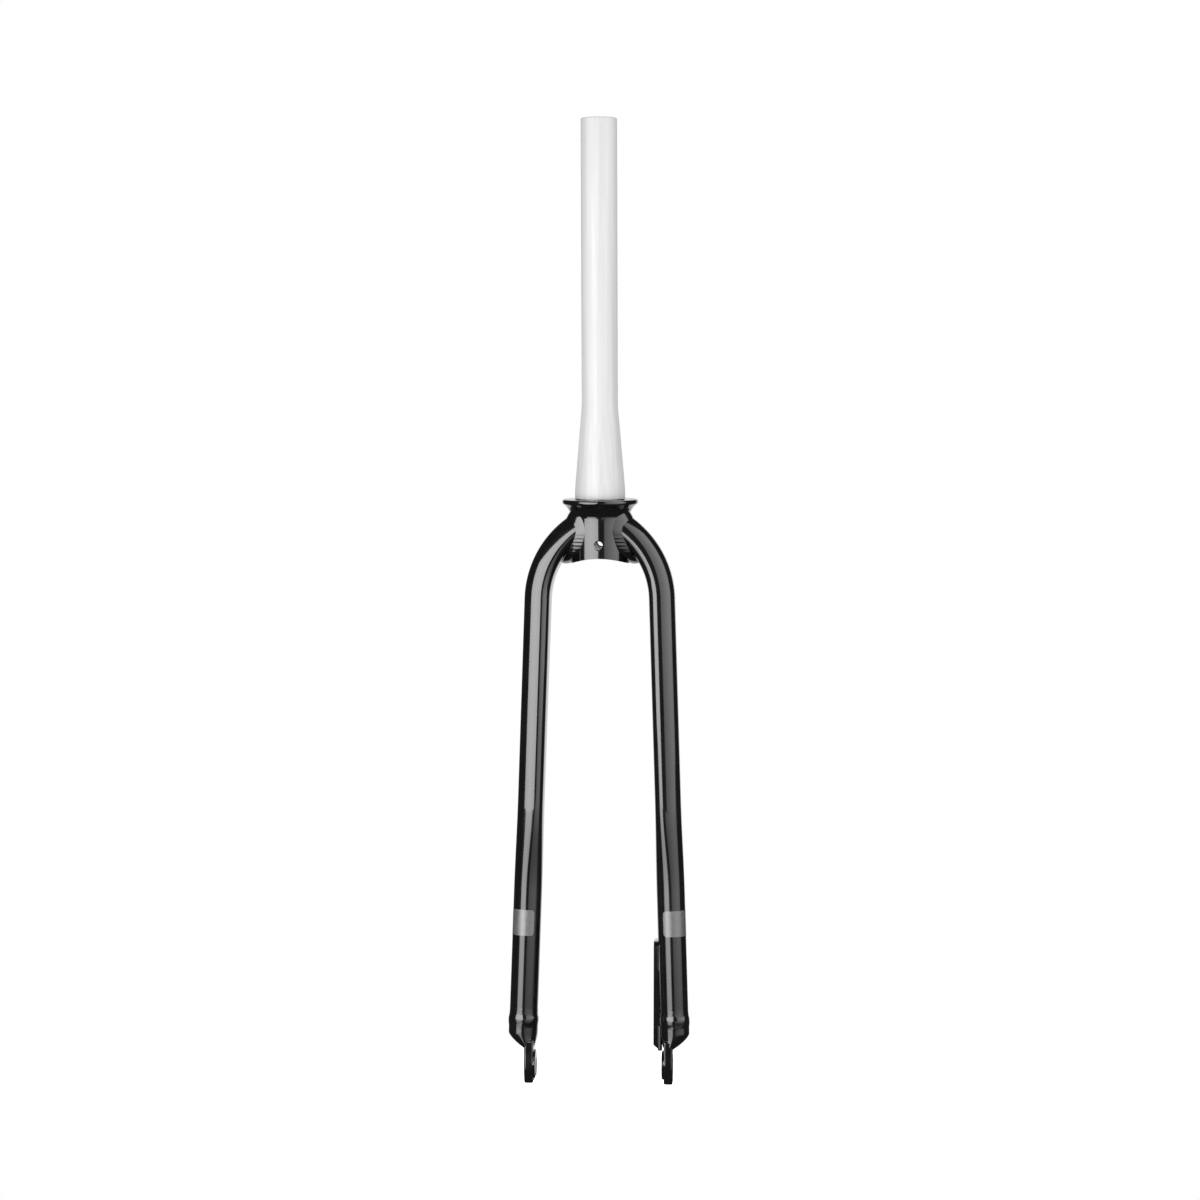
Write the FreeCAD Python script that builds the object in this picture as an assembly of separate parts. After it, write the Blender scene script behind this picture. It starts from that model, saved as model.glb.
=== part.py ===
import FreeCAD, Part
import math
import os

V = FreeCAD.Vector

# Rigid mountain bike fork, in millimetres.
# The origin is the centre of the crown seat, on top of the crown's flange.
# +Z runs up the steerer, -Y is the front of the bicycle and +X is the rider's left.
# A drop is measured down a leg from the crown seat, and a rise up it from the axle,
# in the leg's own plane, before that is raked forward.

# Steerer: a tube that tapers out to the seat of the lower headset bearing
STEERER_LENGTH = 299.0
STEERER_TOP_DIAMETER = 28.6
STEERER_TOP_WALL = 2.6
STEERER_CHAMFER = 0.8
RACE_SEAT_DIAMETER = 39.8
RACE_SEAT_HEIGHT = 8.0
RACE_SEAT_WALL = 3.5
TAPER_LENGTH = 66.0
PRESSED_END_DIAMETER = 38.6
STEERER_RECESS = 2.0
STEERER_FIT = 0.03

# Crown: a ring round the steerer's lower end, with the seat flange on top and an arched underside
CROWN_DIAMETER = 46.0
FLANGE_DIAMETER = 60.3
FLANGE_THICKNESS = 2.4
FLANGE_CONE_HEIGHT = 3.8
NECK_DIAMETER = 50.4
NECK_HEIGHT = 9.0
CROWN_HEIGHT = 46.0
CROWN_ARCH_RADIUS = 57.0
THROUGH_HOLE_DIAMETER = 6.6
THROUGH_HOLE_DROP = 34.5

# Legs: tubes bent out of the crown, a D-section above and round below
RAKE = 43.0
AXLE_DROP = 449.2
LEG_ROOT_DROP = 26.0
LEG_SPLAY_DEGREES = 1.8
BEND_END_DROP = 78.9
BEND_END_HALF_SPREAD = 49.5
BEND_RADIUS = 71.5
BEND_DEGREES = 60.0
BLADE_OUTWARD = 13.8
BLADE_INWARD = 6.7
BLADE_OUTER_NOSE = 11.5
BLADE_INNER_NOSE = 7.5
CROWN_END_DEPTH = 36.0
BLADE_END_DEPTH = 29.0
TUBE_DIAMETER = 22.4
LEG_WALL = 2.2
BLADE_END_RISE = 210.2
ROUND_START_RISE = 137.2
TUBE_END_RISE = 36.2
MITRE_GAP = 0.05

# Dropouts: forged hoods that close the tubes and flatten into slotted blades
HUB_SPACING = 100.0
HUB_PAD_HEIGHT = 1.7
HUB_PAD_DIAMETER = 23.0
BLADE_THICKNESS = 6.5
FORK_END_WIDTH = 23.0
FORK_END_NECK_WIDTH = 18.6
FORK_END_NECK_RISE = 12.0
FORK_END_TIP_WIDTH = 13.6
FORK_END_REACH = 16.2
AXLE_SLOT_WIDTH = 9.2
NUT_RECESS_DIAMETER = 18.0
NUT_RECESS_DEPTH = 1.2
HOOD_DIAMETER = 23.4
HOOD_STRAIGHT = 11.5
HOOD_LENGTH = 24.5
HOOD_CLOSING = ((0.3, 0.11), (0.56, 0.38), (0.76, 0.69), (1.0, 1.0))
HOOD_FOOT_INSET = 0.1
PLUG_LENGTH = 14.0
PLUG_FIT = 0.1

# Disc brake tab: a plate tangent to the inner side of the left leg, with two caliper bolt holes
TAB_THICKNESS = 5.0
TAB_FACE_OFFSET = 6.5
TAB_TOP_RISE = 98.2
TAB_BOTTOM_RISE = 11.2
TAB_FRONT_DEPTH = 3.0
TAB_HOLE_DIAMETER = 6.2
TAB_HOLE_SPACING = 51.0
TAB_HOLE_DEPTH = 31.0
TAB_UPPER_HOLE_RISE = 88.2
TAB_EAR_RADIUS = 8.5
TAB_SCALLOP_RADIUS = 62.0
TAB_CORNER_RADIUS = 4.0

# Welds: filler beads in the corners between the pieces
CROWN_WELD_TOP_RADIUS = 2.8
CROWN_WELD_BOTTOM_RADIUS = 10.5
CROWN_WELD_SWELL = 3
DROPOUT_WELD_RADIUS = 5.5
DROPOUT_WELD_PROUD = 0.45
TAB_WELD_RADIUS = 3.4
TAB_WELD_LENGTH = 20.0
TAB_WELD_INSET = 3.0
TAB_WELD_BURY = 0.4

# Bands: thin wrap films on the round part of the legs, open on the inner side
BAND_TOP_RISE = 124.7
BAND_HEIGHT = 21.0
BAND_THICKNESS = 0.2
BAND_GLUE = 0.05
BAND_GAP_DEGREES = 110.0

CUT_MARGIN = 1.0
EDGE_TOLERANCE = 0.1
SIDE_ARC_DEGREES = 8.0
BLEND_STEPS = 4
WELD_SECTIONS = 20

crown_radius = CROWN_DIAMETER / 2
seat_radius = RACE_SEAT_DIAMETER / 2
pressed_radius = PRESSED_END_DIAMETER / 2
tube_radius = TUBE_DIAMETER / 2
splay = math.radians(LEG_SPLAY_DEGREES)
rake_degrees = math.degrees(math.asin(RAKE / (AXLE_DROP - LEG_ROOT_DROP)))
leg_root = V(0, 0, -LEG_ROOT_DROP)
bend_end = V(BEND_END_HALF_SPREAD, 0, -BEND_END_DROP)
down_leg = V(math.sin(splay), 0, -math.cos(splay))
across_leg = V(math.cos(splay), 0, math.sin(splay))
bend_centre = bend_end - across_leg * BEND_RADIUS


def raked(shape):
    """A shape of the leg plane, turned forward about the leg's root to put the axle ahead of the steerer."""
    turned = shape.copy()
    turned.rotate(leg_root, V(1, 0, 0), -rake_degrees)
    return turned


def mirrored(shape):
    """The rider's right-hand copy of a left-hand shape."""
    return shape.mirror(V(0, 0, 0), V(1, 0, 0))


def revolved(outline):
    """A solid turned about the steerer's axis from its half outline in X and Z."""
    points = [V(x, 0, z) for x, z in outline]
    face = Part.Face(Part.makePolygon(points + points[:1]))
    return face.revolve(V(0, 0, 0), V(0, 0, 1), 360)


def through_hole():
    """The drill that crosses the crown and the steerer from front to back."""
    start = V(0, -FLANGE_DIAMETER, -THROUGH_HOLE_DROP)
    return Part.makeCylinder(THROUGH_HOLE_DIAMETER / 2, 2 * FLANGE_DIAMETER, start, V(0, 1, 0))


def steerer_tube():
    """Tapered steerer, turned inside and out, its lower end pressed into the crown."""
    top = STEERER_TOP_DIAMETER / 2
    taper_end = RACE_SEAT_HEIGHT + TAPER_LENGTH
    foot = STEERER_RECESS - CROWN_HEIGHT
    outline = [
        (seat_radius - RACE_SEAT_WALL, foot),
        (pressed_radius, foot),
        (pressed_radius, 0),
        (seat_radius, 0),
        (seat_radius, RACE_SEAT_HEIGHT),
        (top, taper_end),
        (top, STEERER_LENGTH - STEERER_CHAMFER),
        (top - STEERER_CHAMFER, STEERER_LENGTH),
        (top - STEERER_TOP_WALL, STEERER_LENGTH),
        (top - STEERER_TOP_WALL, taper_end),
        (seat_radius - RACE_SEAT_WALL, RACE_SEAT_HEIGHT),
    ]
    return revolved(outline).cut(through_hole())


def crown_blank(gap):
    """The crown's outside as a plain turned solid, larger by a gap: flange, coned neck and round body."""
    neck_top = -FLANGE_THICKNESS - FLANGE_CONE_HEIGHT
    foot = -CROWN_HEIGHT - CROWN_ARCH_RADIUS
    outline = [
        (0, foot),
        (crown_radius + gap, foot),
        (crown_radius + gap, neck_top - NECK_HEIGHT),
        (NECK_DIAMETER / 2 + gap, neck_top),
        (FLANGE_DIAMETER / 2 + gap, -FLANGE_THICKNESS),
        (FLANGE_DIAMETER / 2 + gap, 0),
        (0, 0),
    ]
    return revolved(outline)


def crown():
    """Crown bored for the steerer with a coned lead-in, its underside arched over the tyre."""
    foot = V(0, 0, -CROWN_HEIGHT - CROWN_ARCH_RADIUS)
    bore_radius = pressed_radius + STEERER_FIT
    bore = Part.makeCylinder(bore_radius, -foot.z, foot)
    lead_in_depth = seat_radius - pressed_radius
    lead_in = Part.makeCone(bore_radius, seat_radius + STEERER_FIT, lead_in_depth, V(0, 0, -lead_in_depth))
    arch_start = foot - V(0, FLANGE_DIAMETER, 0)
    arch = Part.makeCylinder(CROWN_ARCH_RADIUS, 2 * FLANGE_DIAMETER, arch_start, V(0, 1, 0))
    return crown_blank(0).cut([bore, lead_in, arch, through_hole()])


def leg_outward(distance):
    """The outward direction across a leg, at a distance down from the end of the bend."""
    angle = splay - min(distance, 0) / BEND_RADIUS
    return V(math.cos(angle), 0, math.sin(angle))


def leg_point(distance):
    """A point on a leg's middle line, at a distance down from the end of the bend."""
    return bend_centre + leg_outward(distance) * BEND_RADIUS + down_leg * max(distance, 0)


def station_at_rise(rise):
    """The distance down from the end of the bend to a rise above the axle."""
    return (AXLE_DROP - rise - BEND_END_DROP) / math.cos(splay)


def mix(low, high, share):
    """A share of the way from one value to another."""
    return low + (high - low) * share


def quarter_nose(side_point, corner, nose_point):
    """A quarter of an ellipse between two points, inside the corner where their tangents cross."""
    curve = Part.BezierCurve()
    curve.setPoles([side_point, corner, nose_point])
    curve.setWeight(2, math.sqrt(0.5))
    return curve.toShape()


def leg_section(distance, inset):
    """The outline of a leg, set in by a wall: two noses joined by sides, D-shaped above, round below."""
    blade_end = station_at_rise(BLADE_END_RISE)
    round_start = station_at_rise(ROUND_START_RISE)
    share = min(max((distance - blade_end) / (round_start - blade_end), 0), 1)
    roundness = share * share * (3 - 2 * share)
    along_blade = min(max(distance / blade_end, 0), 1)
    blade_half_depth = mix(CROWN_END_DEPTH, BLADE_END_DEPTH, along_blade) / 2
    half_depth = mix(blade_half_depth, tube_radius, roundness) - inset
    outward_reach = mix(BLADE_OUTWARD, tube_radius, roundness) - inset
    inward_reach = mix(BLADE_INWARD, tube_radius, roundness) - inset
    outer_side = half_depth + inset - mix(BLADE_OUTER_NOSE, tube_radius, roundness)
    inner_side = half_depth + inset - mix(BLADE_INNER_NOSE, tube_radius, roundness)
    nose = (inward_reach - outward_reach) / 2
    outer = nose + outward_reach
    inner = nose - inward_reach
    middle = leg_point(distance)
    outward = leg_outward(distance)

    def spot(across, depth):
        return middle + outward * across + V(0, depth, 0)

    if roundness < 1:
        return Part.Wire([
            Part.LineSegment(spot(outer, -outer_side), spot(outer, outer_side)).toShape(),
            quarter_nose(spot(outer, outer_side), spot(outer, half_depth), spot(nose, half_depth)),
            quarter_nose(spot(nose, half_depth), spot(inner, half_depth), spot(inner, inner_side)),
            Part.LineSegment(spot(inner, inner_side), spot(inner, -inner_side)).toShape(),
            quarter_nose(spot(inner, -inner_side), spot(inner, -half_depth), spot(nose, -half_depth)),
            quarter_nose(spot(nose, -half_depth), spot(outer, -half_depth), spot(outer, -outer_side)),
        ])
    side = SIDE_ARC_DEGREES / 2
    turns = (-side, side, 90, 180 - side, 180 + side, 270, 360 - side)
    arcs = []
    for begin, finish in zip(turns, turns[1:]):
        angles = [math.radians(turn) for turn in (begin, (begin + finish) / 2, finish)]
        spots = [spot(half_depth * math.cos(angle), half_depth * math.sin(angle)) for angle in angles]
        arcs.append(Part.Arc(*spots).toShape())
    return Part.Wire(arcs)


def leg_body(inset, overrun):
    """A leg as a solid, set in by a wall and longer at both ends: bend, blade, blend and round tube."""
    blade_end = station_at_rise(BLADE_END_RISE)
    round_start = station_at_rise(ROUND_START_RISE)
    tube_length = station_at_rise(TUBE_END_RISE) - round_start + overrun
    bend_turn = BEND_DEGREES + math.degrees(overrun / BEND_RADIUS)
    blend_places = [mix(blade_end, round_start, i / BLEND_STEPS) for i in range(BLEND_STEPS + 1)]
    bend = Part.Face(leg_section(0, inset)).revolve(bend_centre, V(0, -1, 0), bend_turn)
    blade = Part.makeLoft([leg_section(0, inset), leg_section(blade_end, inset)], True, True)
    blend = Part.makeLoft([leg_section(place, inset) for place in blend_places], True, False)
    tube = Part.Face(leg_section(round_start, inset)).extrude(down_leg * tube_length)
    return bend.fuse([blade, blend, tube]).removeSplitter()


def leg(outer):
    """Hollow leg, its upper end mitred to the crown's round side."""
    hollow = raked(leg_body(LEG_WALL, CUT_MARGIN))
    return outer.cut(hollow).cut(crown_blank(MITRE_GAP))


def oval(middle, outward, half_width, half_depth):
    """An ellipse across a leg, as a wire."""
    if half_width >= half_depth:
        curve = Part.Ellipse(middle + outward * half_width, middle + V(0, half_depth, 0), middle)
    else:
        curve = Part.Ellipse(middle + V(0, half_depth, 0), middle - outward * half_width, middle)
    return Part.Wire(curve.toShape())


def dropout_hood():
    """The forged hood: round where it meets the tube, closing from the outer side down to the blade."""
    tube_end = station_at_rise(TUBE_END_RISE)
    socket = leg_point(tube_end)
    outward = leg_outward(tube_end)
    shoulder = socket + down_leg * HOOD_STRAIGHT
    radius = HOOD_DIAMETER / 2
    blade_middle = HUB_SPACING / 2 + HUB_PAD_HEIGHT + BLADE_THICKNESS / 2
    foot_half_width = BLADE_THICKNESS / 2 - HOOD_FOOT_INSET
    foot_half_depth = FORK_END_NECK_WIDTH / 2 - HOOD_FOOT_INSET
    closing = HOOD_LENGTH - HOOD_STRAIGHT
    wires = [oval(socket, outward, radius, radius), oval(shoulder, outward, radius, radius)]
    for share, closed in HOOD_CLOSING:
        middle = V(mix(shoulder.x, blade_middle, closed), 0, shoulder.z - closing * share)
        half_width = mix(radius, foot_half_width, closed)
        half_depth = mix(radius, foot_half_depth, share)
        wires.append(oval(middle, V(1, 0, 0), half_width, half_depth))
    return Part.makeLoft(wires, True, False)


def fork_end():
    """The flat blade below the hood: a narrow neck, a round eye at the axle and a tip that the slot parts."""
    inner = HUB_SPACING / 2 + HUB_PAD_HEIGHT
    top = TUBE_END_RISE - (HOOD_LENGTH + HOOD_STRAIGHT) / 2
    spots = (
        (FORK_END_NECK_WIDTH / 2, top),
        (FORK_END_NECK_WIDTH / 2, FORK_END_NECK_RISE),
        (FORK_END_WIDTH / 2, 0),
        (FORK_END_TIP_WIDTH / 2, -FORK_END_REACH),
    )
    rear_points = [V(inner, half, rise - AXLE_DROP) for half, rise in spots]
    front_points = [V(inner, -half, rise - AXLE_DROP) for half, rise in spots]
    edges = []
    for points in (rear_points, front_points):
        side = Part.BSplineCurve()
        side.interpolate(points)
        edges.append(side.toShape())
    edges.append(Part.makeLine(rear_points[0], front_points[0]))
    edges.append(Part.makeLine(rear_points[-1], front_points[-1]))
    outline = Part.Wire(Part.__sortEdges__(edges))
    return Part.Face(outline).extrude(V(BLADE_THICKNESS, 0, 0))


def dropout():
    """One forging: a plug for the tube, the hood, and a blade with a hub pad, nut recess and open axle slot."""
    inner = HUB_SPACING / 2
    blade_outer = inner + HUB_PAD_HEIGHT + BLADE_THICKNESS
    axle = V(inner, 0, -AXLE_DROP)
    along = V(1, 0, 0)
    socket = leg_point(station_at_rise(TUBE_END_RISE))
    plug_radius = tube_radius - LEG_WALL - PLUG_FIT
    plug = Part.makeCylinder(plug_radius, PLUG_LENGTH, socket, down_leg * -1)
    pad = Part.makeCylinder(HUB_PAD_DIAMETER / 2, HUB_PAD_HEIGHT, axle, along)
    blank = dropout_hood().fuse([fork_end(), plug, pad])
    recess_start = V(blade_outer - NUT_RECESS_DEPTH, 0, -AXLE_DROP)
    recess = Part.makeCylinder(NUT_RECESS_DIAMETER / 2, BLADE_THICKNESS, recess_start, along)
    slot_start = V(inner - CUT_MARGIN, 0, -AXLE_DROP)
    slot_length = HUB_PAD_HEIGHT + BLADE_THICKNESS + 2 * CUT_MARGIN
    slot_end = Part.makeCylinder(AXLE_SLOT_WIDTH / 2, slot_length, slot_start, along)
    slot_mouth = Part.makeBox(slot_length, AXLE_SLOT_WIDTH, FORK_END_REACH + CUT_MARGIN)
    slot_mouth.translate(slot_start + V(0, -AXLE_SLOT_WIDTH / 2, -FORK_END_REACH - CUT_MARGIN))
    return raked(blank.cut([recess, slot_end, slot_mouth]).removeSplitter())


def tab_holes():
    """The centres of the two caliper bolt holes, upper then lower, on the tab's inboard face."""
    upper = V(HUB_SPACING / 2 - TAB_FACE_OFFSET, TAB_HOLE_DEPTH, TAB_UPPER_HOLE_RISE - AXLE_DROP)
    return upper, upper + V(0, 0, -TAB_HOLE_SPACING)


def disc_brake_tab(neighbours):
    """Caliper tab: a plate with an ear round each bolt hole, coped to the pieces it is welded to."""
    upper, lower = tab_holes()
    inboard = upper.x
    front = -TAB_FRONT_DEPTH
    top = TAB_TOP_RISE - AXLE_DROP
    bottom = TAB_BOTTOM_RISE - AXLE_DROP
    corners = [
        V(inboard, front, top),
        V(inboard, upper.y, upper.z + TAB_EAR_RADIUS),
        V(inboard, upper.y, upper.z - TAB_EAR_RADIUS),
        V(inboard, lower.y, lower.z + TAB_EAR_RADIUS),
        V(inboard, lower.y, lower.z - TAB_EAR_RADIUS),
        V(inboard, front, bottom),
    ]
    thickness = V(TAB_THICKNESS, 0, 0)
    plate = Part.Face(Part.makePolygon(corners + corners[:1])).extrude(thickness)
    along = V(1, 0, 0)
    ears = [Part.makeCylinder(TAB_EAR_RADIUS, TAB_THICKNESS, centre, along) for centre in (upper, lower)]
    middle = (upper + lower) * 0.5
    reach = math.sqrt(TAB_SCALLOP_RADIUS ** 2 - (TAB_HOLE_SPACING / 2 - TAB_EAR_RADIUS) ** 2)
    scallop = Part.makeCylinder(TAB_SCALLOP_RADIUS, TAB_THICKNESS, middle + V(0, reach, 0), along)
    drill_length = TAB_THICKNESS + 2 * CUT_MARGIN
    drills = [
        Part.makeCylinder(TAB_HOLE_DIAMETER / 2, drill_length, centre - along * CUT_MARGIN, along)
        for centre in (upper, lower)
    ]
    blank = plate.cut(scallop).fuse(ears).removeSplitter()
    front_edges = [
        edge for edge in blank.Edges
        if abs(edge.CenterOfMass.y - front) < EDGE_TOLERANCE
        and abs(edge.Length - TAB_THICKNESS) < EDGE_TOLERANCE
    ]
    rounded = blank.makeFillet(TAB_CORNER_RADIUS, front_edges)
    return raked(rounded.cut(drills)).cut(neighbours)


def crown_weld(leg_outer):
    """Filler round the leg's mitre: thin over the top of the leg, fat in the tight corner under it."""
    joint = leg_outer.section(crown_blank(0))
    path = Part.Wire(Part.__sortEdges__(joint.Edges))
    points = path.discretize(Number=WELD_SECTIONS + 1)[:-1]
    highest = max(point.z for point in points)
    lowest = min(point.z for point in points)
    rings = []
    for place, point in enumerate(points):
        ahead = points[(place + 1) % WELD_SECTIONS] - points[place - 1]
        depth = (highest - point.z) / (highest - lowest)
        radius = mix(CROWN_WELD_TOP_RADIUS, CROWN_WELD_BOTTOM_RADIUS, depth ** CROWN_WELD_SWELL)
        rings.append(Part.Wire(Part.Circle(point, ahead, radius).toShape()))
    bead = Part.makeLoft(rings, True, False, True)
    return bead.cut(crown_blank(0)).cut(leg_outer)


def dropout_weld(leg_outer, dropout_solid):
    """Filler ring over the seam between the tube and the dropout's hood."""
    socket = leg_point(station_at_rise(TUBE_END_RISE))
    ring_radius = HOOD_DIAMETER / 2 + DROPOUT_WELD_PROUD - DROPOUT_WELD_RADIUS
    ring = raked(Part.makeTorus(ring_radius, DROPOUT_WELD_RADIUS, socket, down_leg))
    return ring.cut([leg_outer, dropout_solid])


def tab_weld(neighbours):
    """Filler between the tab and the leg, a bead before and behind the plate at its top and its foot."""
    outboard = HUB_SPACING / 2 - TAB_FACE_OFFSET + TAB_THICKNESS
    beads = []
    for start in (TAB_TOP_RISE - TAB_WELD_INSET, TAB_BOTTOM_RISE + TAB_WELD_INSET + TAB_WELD_LENGTH):
        middle = leg_point(station_at_rise(start))
        reach = min(middle.x - outboard, tube_radius)
        rear = math.sqrt(tube_radius ** 2 - reach ** 2)
        for depth in (TAB_WELD_BURY - TAB_FRONT_DEPTH, rear):
            head = V(outboard, depth, start - AXLE_DROP)
            rod = Part.makeCylinder(TAB_WELD_RADIUS, TAB_WELD_LENGTH, head, V(0, 0, -1))
            beads.append(raked(rod).cut(neighbours))
    return Part.makeCompound([solid for bead in beads for solid in bead.Solids])


def leg_band():
    """Wrap film on the round tube, open towards the wheel."""
    start = leg_point(station_at_rise(BAND_TOP_RISE))
    inner_radius = tube_radius + BAND_GLUE
    outer = Part.makeCylinder(inner_radius + BAND_THICKNESS, BAND_HEIGHT, start, down_leg)
    inner = Part.makeCylinder(inner_radius, BAND_HEIGHT, start, down_leg)
    half_gap = math.radians(BAND_GAP_DEGREES / 2)
    inboard = across_leg * (-2 * TUBE_DIAMETER * math.cos(half_gap))
    aside = V(0, 2 * TUBE_DIAMETER * math.sin(half_gap), 0)
    corners = [start, start + inboard + aside, start + inboard - aside, start]
    gap = Part.Face(Part.makePolygon(corners)).extrude(down_leg * BAND_HEIGHT)
    return raked(outer.cut(inner).cut(gap))


left_outer = raked(leg_body(0, 0))
left_leg = leg(left_outer)
left_dropout = dropout()
left_crown_weld = crown_weld(left_outer)
left_dropout_weld = dropout_weld(left_outer, left_dropout)
tab_seats = [left_outer, left_dropout, left_dropout_weld]
tab = disc_brake_tab(tab_seats)
disc_tab_weld = tab_weld(tab_seats + [tab])
band = leg_band()

pieces = {
    "steerer_tube": steerer_tube(),
    "crown": crown(),
    "left_leg": left_leg,
    "right_leg": mirrored(left_leg),
    "left_dropout": left_dropout,
    "right_dropout": mirrored(left_dropout),
    "disc_brake_tab": tab,
    "left_crown_weld": left_crown_weld,
    "right_crown_weld": mirrored(left_crown_weld),
    "left_dropout_weld": left_dropout_weld,
    "right_dropout_weld": mirrored(left_dropout_weld),
    "disc_tab_weld": disc_tab_weld,
    "left_leg_band": band,
    "right_leg_band": mirrored(band),
}

os.makedirs("parts", exist_ok=True)
for name, shape in pieces.items():
    shape.exportStep("parts/" + name + ".step")
    print(name, "valid", shape.isValid(), "solids", len(shape.Solids), "volume", round(shape.Volume, 1))
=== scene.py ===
import math

import bmesh
import bpy
from mathutils import Matrix, Vector


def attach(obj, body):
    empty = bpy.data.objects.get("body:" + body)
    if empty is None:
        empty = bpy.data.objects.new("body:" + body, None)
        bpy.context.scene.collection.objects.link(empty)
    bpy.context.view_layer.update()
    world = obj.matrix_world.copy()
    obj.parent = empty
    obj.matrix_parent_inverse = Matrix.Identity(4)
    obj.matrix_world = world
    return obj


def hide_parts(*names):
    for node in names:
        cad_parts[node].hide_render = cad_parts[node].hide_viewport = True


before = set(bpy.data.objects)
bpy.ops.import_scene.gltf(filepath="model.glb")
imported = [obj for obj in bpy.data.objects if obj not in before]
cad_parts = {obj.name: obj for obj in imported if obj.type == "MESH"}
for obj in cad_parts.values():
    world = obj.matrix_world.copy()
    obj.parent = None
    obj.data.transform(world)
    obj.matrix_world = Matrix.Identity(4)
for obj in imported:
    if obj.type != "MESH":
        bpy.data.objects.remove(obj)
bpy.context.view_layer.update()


# Steerer: a drawn aluminium tube that tapers out to the lower headset seat and is pressed into the crown.
# It is left bare: the turned outside was blasted with fine beads, which gives a pale, even satin.
# Sizes are in mm, a turned outline runs through pairs of radius and height, and edge angles are in degrees.
MM = 0.001
STEERER_SEGMENTS = 128
STEERER_OUTLINE = (
    (16.4, -44), (19.3, -44), (19.3, 0), (19.9, 0), (19.9, 5), (19.88, 8), (19.62, 11.5), (17.1, 41),
    (14.58, 70.5), (14.33, 74), (14.3, 78), (14.3, 180), (14.3, 298.2), (13.5, 298.98), (12.1, 298.98),
    (11.7, 298.6), (11.7, 78), (11.7, 74), (11.95, 70.5), (16.15, 11.5), (16.4, 8),
)
STEERER_HOLE_RADIUS = 4.2
STEERER_EDGE = 0.25
BOLT_HOLE_DROP = 35.5
CUTTER_SEGMENTS = 128
RIGHT_THROUGH = 120
ALONG_Y = (math.radians(90), 0, 0)
BEVEL_FROM = 40
CREASE = 35
STEERER_TINTS = ((0.3, "#c2c2c2"), (0.7, "#cecece"))
STREAK_WIDTH = 3.5
STREAK_SQUEEZE = 0.03
GRIT_SIZE = 0.9
PIT_DEPTH = 0.02


def turned(name, outline, segments):
    """A ring extruded and scaled through a half outline of radius and height in mm, then closed up."""
    bpy.ops.object.select_all(action="DESELECT")
    radius, height = outline[0]
    bpy.ops.mesh.primitive_circle_add(vertices=segments, radius=radius * MM, location=(0, 0, height * MM))
    piece = bpy.context.object
    piece.name = name
    bpy.ops.object.transform_apply(location=True)
    bpy.ops.object.mode_set(mode="EDIT")
    for (radius, height), (next_radius, next_height) in zip(outline, outline[1:]):
        rise = (0, 0, (next_height - height) * MM)
        bpy.ops.mesh.extrude_region_move(TRANSFORM_OT_translate={"value": rise})
        spread = next_radius / radius
        bpy.ops.transform.resize(value=(spread, spread, 1), center_override=(0, 0, next_height * MM))
    bpy.ops.mesh.select_all(action="DESELECT")
    bpy.ops.mesh.select_non_manifold()
    bpy.ops.mesh.bridge_edge_loops()
    bpy.ops.mesh.select_all(action="SELECT")
    bpy.ops.mesh.normals_make_consistent(inside=False)
    bpy.ops.object.mode_set(mode="OBJECT")
    return piece


def modified(piece, kind, **settings):
    """Adds one modifier to a piece and applies it."""
    bpy.ops.object.select_all(action="DESELECT")
    piece.select_set(True)
    bpy.context.view_layer.objects.active = piece
    modifier = piece.modifiers.new(kind, kind)
    for setting, value in settings.items():
        setattr(modifier, setting, value)
    bpy.ops.object.modifier_apply(modifier=modifier.name)


def smoothed(piece, degrees):
    """Shades a piece smooth, apart from edges sharper than an angle."""
    bpy.ops.object.select_all(action="DESELECT")
    piece.select_set(True)
    bpy.context.view_layer.objects.active = piece
    bpy.ops.object.shade_smooth_by_angle(angle=math.radians(degrees))


def cylinder(radius, middle, length, turn):
    """A plain cylinder to cut with or build from, sizes in mm, placed in its mesh."""
    bpy.ops.object.select_all(action="DESELECT")
    bpy.ops.mesh.primitive_cylinder_add(
        vertices=CUTTER_SEGMENTS, radius=radius * MM, depth=length * MM, location=Vector(middle) * MM,
        rotation=turn)
    bpy.ops.object.transform_apply(location=True, rotation=True, scale=True)
    return bpy.context.object


def joined_by(piece, tool, operation):
    """Cuts a tool from a piece or joins it on, and removes the tool."""
    modified(piece, "BOOLEAN", object=tool, operation=operation, solver="EXACT")
    bpy.data.objects.remove(tool)


def linear(code):
    """An sRGB hex colour as linear RGBA."""
    parts = [int(code[place:place + 2], 16) / 255 for place in (1, 3, 5)]
    levels = [part / 12.92 if part <= 0.04045 else ((part + 0.055) / 1.055) ** 2.4 for part in parts]
    return (*levels, 1)


def add_node(tree, kind, settings, links):
    """Adds a shader node, sets its sockets, properties or colour stops by name, and links its inputs."""
    node = tree.nodes.new(kind)
    for name, value in settings.items():
        if name == "stops":
            for element, (position, colour) in zip(node.color_ramp.elements, value):
                element.position = position
                element.color = linear(colour)
        elif isinstance(name, int) or name in node.inputs:
            node.inputs[name].default_value = value
        else:
            setattr(node, name, value)
    for name, source in links.items():
        tree.links.new(source, node.inputs[name])
    return node


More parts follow.
